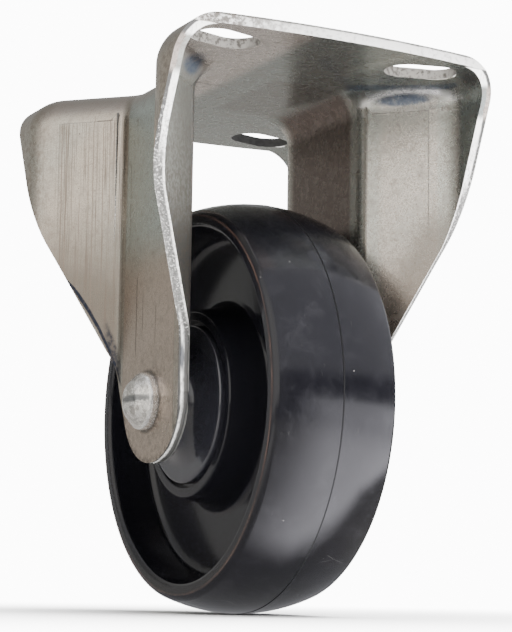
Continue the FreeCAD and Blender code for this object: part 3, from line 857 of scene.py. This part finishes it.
surround = {                                     # what the gloss sees; heights and angles in degrees
    "room": (0.05, 0.05, 0.06),
    "above": ((13.5, 17.5), (1.00, 1.00, 1.06)),  # everything over these heights
    "aboveLean": 0.06,
    "low": ((3.0, 0.6), (3.3, 3.3, 3.5)),        # a lit strip behind the floor, to the right
    "lowAcross": ((0.0, 0.25), (0.2, 0.0)),
    "back": ((-0.25, 0.95, 0.05), 30.0, 80.0, (0.50, 0.50, 0.48)),       # direction, inner and outer angle
    "left": ((-0.886, -0.425, 0.144), 24.0, 60.0, (1.75, 1.70, 1.62)),
}

floorGlow = {                                    # the floor as the gloss sees it: middle, inner and outer mm
    "plain": (0.52, 0.50, 0.48),
    "leftDark": ((-1400.0, 600.0), 500.0, 800.0, (0.12, 0.12, 0.13)),
    "frontDark": ((-150.0, -1400.0), 1050.0, 1180.0, (0.10, 0.10, 0.12)),
    "leftPatch": ((-260.0, -60.0), 60.0, 220.0, (1.6, 1.55, 1.5)),
    # painted shadow under the wheel
    "underWheel": ((0.0, 0.0), 25.0, 55.0, (0.38, 0.38, 0.40)),
    "litAcross": (-19.0, 0.17),                  # the lit floor's left border, and how it drifts ahead
    "litSoft": (7.0, 0.30, 8.0),                 # that border's softness, its growth ahead and its least
    "litAhead": (-29.0, -45.0),                  # where it starts, ahead of the axle
    "litSlant": (50.0, 0.5),                     # up to this far to the right, it starts later by this share
    "litReach": (60.0, 320.0),
    "litNear": (5.9, 5.8, 6.2),
    "litFar": (3.4, 3.35, 3.6),
}


def photoCamera():
    turn, tilt, roll = (math.radians(studio[key]) for key in ("turn", "tilt", "roll"))
    ahead = Vector((math.sin(turn) * math.cos(tilt), math.cos(turn) * math.cos(tilt), math.sin(tilt)))
    right = Vector((math.cos(turn), -math.sin(turn), 0.0))
    up = right.cross(ahead)
    rightRolled = math.cos(roll) * right - math.sin(roll) * up
    upRolled = math.sin(roll) * right + math.cos(roll) * up
    data = bpy.data.cameras.new("photoCamera")
    data.lens = studio["lens"]
    data.sensor_width = studio["sensor"]
    data.sensor_fit = "AUTO"
    data.clip_start, data.clip_end = studio["clip"]
    camera = bpy.data.objects.new("photoCamera", data)
    facing = Matrix((rightRolled, upRolled, -ahead)).transposed().to_4x4()
    camera.matrix_world = Matrix.Translation(studio["cameraAt"]) @ facing
    bpy.context.scene.collection.objects.link(camera)
    bpy.context.scene.camera = camera


def seenBy(piece, camera=False, gloss=False, rest=False):
    piece.visible_camera = camera
    piece.visible_glossy = gloss
    piece.visible_diffuse = rest
    piece.visible_transmission = rest
    piece.visible_volume_scatter = rest
    piece.visible_shadow = rest


def softBoxes():
    for name, box in studio["boxes"].items():
        light = bpy.data.lights.new(name, "AREA")
        light.shape = "RECTANGLE"
        light.size, light.size_y = box["size"]
        light.energy = box["power"]
        holder = bpy.data.objects.new(name, light)
        holder.location = box["at"]
        holder.rotation_mode = "QUATERNION"
        aim = Vector(box["aim"]) - Vector(box["at"])
        holder.rotation_quaternion = aim.to_track_quat("-Z", "Y")
        seenBy(holder, rest=True)
        bpy.context.scene.collection.objects.link(holder)


def oneSided(board, shader, out):
    seen = board.nodes.new("ShaderNodeNewGeometry")
    clear = board.nodes.new("ShaderNodeBsdfTransparent")
    board.links.new(mixed(board, seen.outputs["Backfacing"], shader, clear.outputs[0]), out.inputs[0])


def disc(name, height):
    bpy.ops.mesh.primitive_circle_add(vertices=96, radius=studio["floorRadius"], fill_type="NGON",
                                      location=(0, 0, height))
    piece = bpy.context.object
    piece.name = name
    return piece


def paleFloor():
    floor = disc("studioFloor", studio["floorZ"])
    finish, board, out = newBoard("floorPaper")
    spot = places(board)
    x, y = parts(board, spot)[:2]
    shader = newShader(board)
    tone = studio["floorTone"]
    darker = tuple(v * studio["fibreDarkens"] for v in tone)
    feed(board, shader.inputs["Base Color"], tint(board, cloud(board, spot, *studio["fibre"]), tone, darker))
    shader.inputs["Roughness"].default_value = studio["floorRoughness"]
    glow = board.nodes.new("ShaderNodeEmission")
    glow.inputs["Strength"].default_value = studio["paper"]
    melting = fade(board, reach(board, x, y, (0.0, 0.0)), *studio["melt"])
    oneSided(board, mixed(board, melting, shader.outputs[0], glow.outputs[0]), out)
    floor.data.materials.append(finish)
    seenBy(floor, camera=True, rest=True)


def glossFloor():
    card = disc("glossFloor", studio["floorZ"] - studio["glossDrop"])
    finish, board, out = newBoard("glossFloorLight")
    x, y = parts(board, places(board))[:2]
    colour = floorGlow["plain"]
    for name in ("leftDark", "frontDark", "leftPatch", "underWheel"):
        middle, inner, outer, light = floorGlow[name]
        colour = tint(board, fade(board, reach(board, x, y, middle), outer, inner), colour, light)

    # the lit floor ahead of the wheel, its left border softer the further it is
    border, drift = floorGlow["litAcross"]
    half, spread, least = floorGlow["litSoft"]
    limit, later = floorGlow["litSlant"]
    ahead = sums(board, "MULTIPLY", y, -1.0)
    inward = sums(board, "SUBTRACT", x, sums(board, "MULTIPLY_ADD", ahead, drift, border))
    soft = sums(board, "MAXIMUM", sums(board, "MULTIPLY_ADD", ahead, spread, half), least)
    slant = sums(board, "MAXIMUM", sums(board, "MINIMUM", x, limit), 0.0)
    lit = both(board, fade(board, sums(board, "DIVIDE", inward, soft), -1.0, 1.0),
               fade(board, sums(board, "MULTIPLY_ADD", slant, later, y), *floorGlow["litAhead"]))
    light = tint(board, fade(board, reach(board, x, y, (0.0, 0.0)), *floorGlow["litReach"]),
                 floorGlow["litNear"], floorGlow["litFar"])
    glow = board.nodes.new("ShaderNodeEmission")
    feed(board, glow.inputs["Color"], tint(board, lit, colour, light))
    oneSided(board, glow.outputs[0], out)
    card.data.materials.append(finish)
    seenBy(card, gloss=True)


def whiteSurround():
    bpy.ops.mesh.primitive_uv_sphere_add(segments=48, ring_count=24, radius=studio["domeRadius"],
                                         location=(0, 0, 0))
    dome = bpy.context.object
    dome.name = "whiteSurround"
    finish, board, out = newBoard("whitePaper")
    glow = board.nodes.new("ShaderNodeEmission")
    glow.inputs["Strength"].default_value = studio["paper"]
    board.links.new(glow.outputs[0], out.inputs[0])
    dome.data.materials.append(finish)
    seenBy(dome, camera=True)


def rise(degrees):
    return math.sin(math.radians(degrees))


def studioWorld():
    world = bpy.data.worlds.new("studioWorld")
    bpy.context.scene.world = world
    world.use_nodes = True
    board = world.node_tree
    board.nodes.clear()
    out = board.nodes.new("ShaderNodeOutputWorld")
    room = board.nodes.new("ShaderNodeBackground")
    board.links.new(room.outputs[0], out.inputs[0])
    way = board.nodes.new("ShaderNodeTexCoord").outputs["Generated"]
    x, y, z = parts(board, way)
    (low, high), light = surround["above"]
    leaning = sums(board, "MULTIPLY_ADD", x, surround["aboveLean"], z)
    colour = tint(board, fade(board, leaning, rise(low), rise(high)), surround["room"], light)
    for name in ("back", "left"):
        middle, inner, outer, light = surround[name]
        along = board.nodes.new("ShaderNodeVectorMath")
        along.operation = "DOT_PRODUCT"
        board.links.new(way, along.inputs[0])
        along.inputs[1].default_value = Vector(middle).normalized()
        near = fade(board, along.outputs["Value"], rise(90.0 - outer), rise(90.0 - inner))
        colour = tint(board, near, colour, light)
    (high, low), light = surround["low"]
    rightOf, frontOf = surround["lowAcross"]
    strip = both(board, fade(board, z, rise(high), rise(low)), fade(board, x, *rightOf),
                 fade(board, y, *frontOf))
    feed(board, room.inputs["Color"], tint(board, strip, colour, light))


print("studio")
whiteSurround()
paleFloor()
glossFloor()
softBoxes()
studioWorld()
photoCamera()

print("finished")
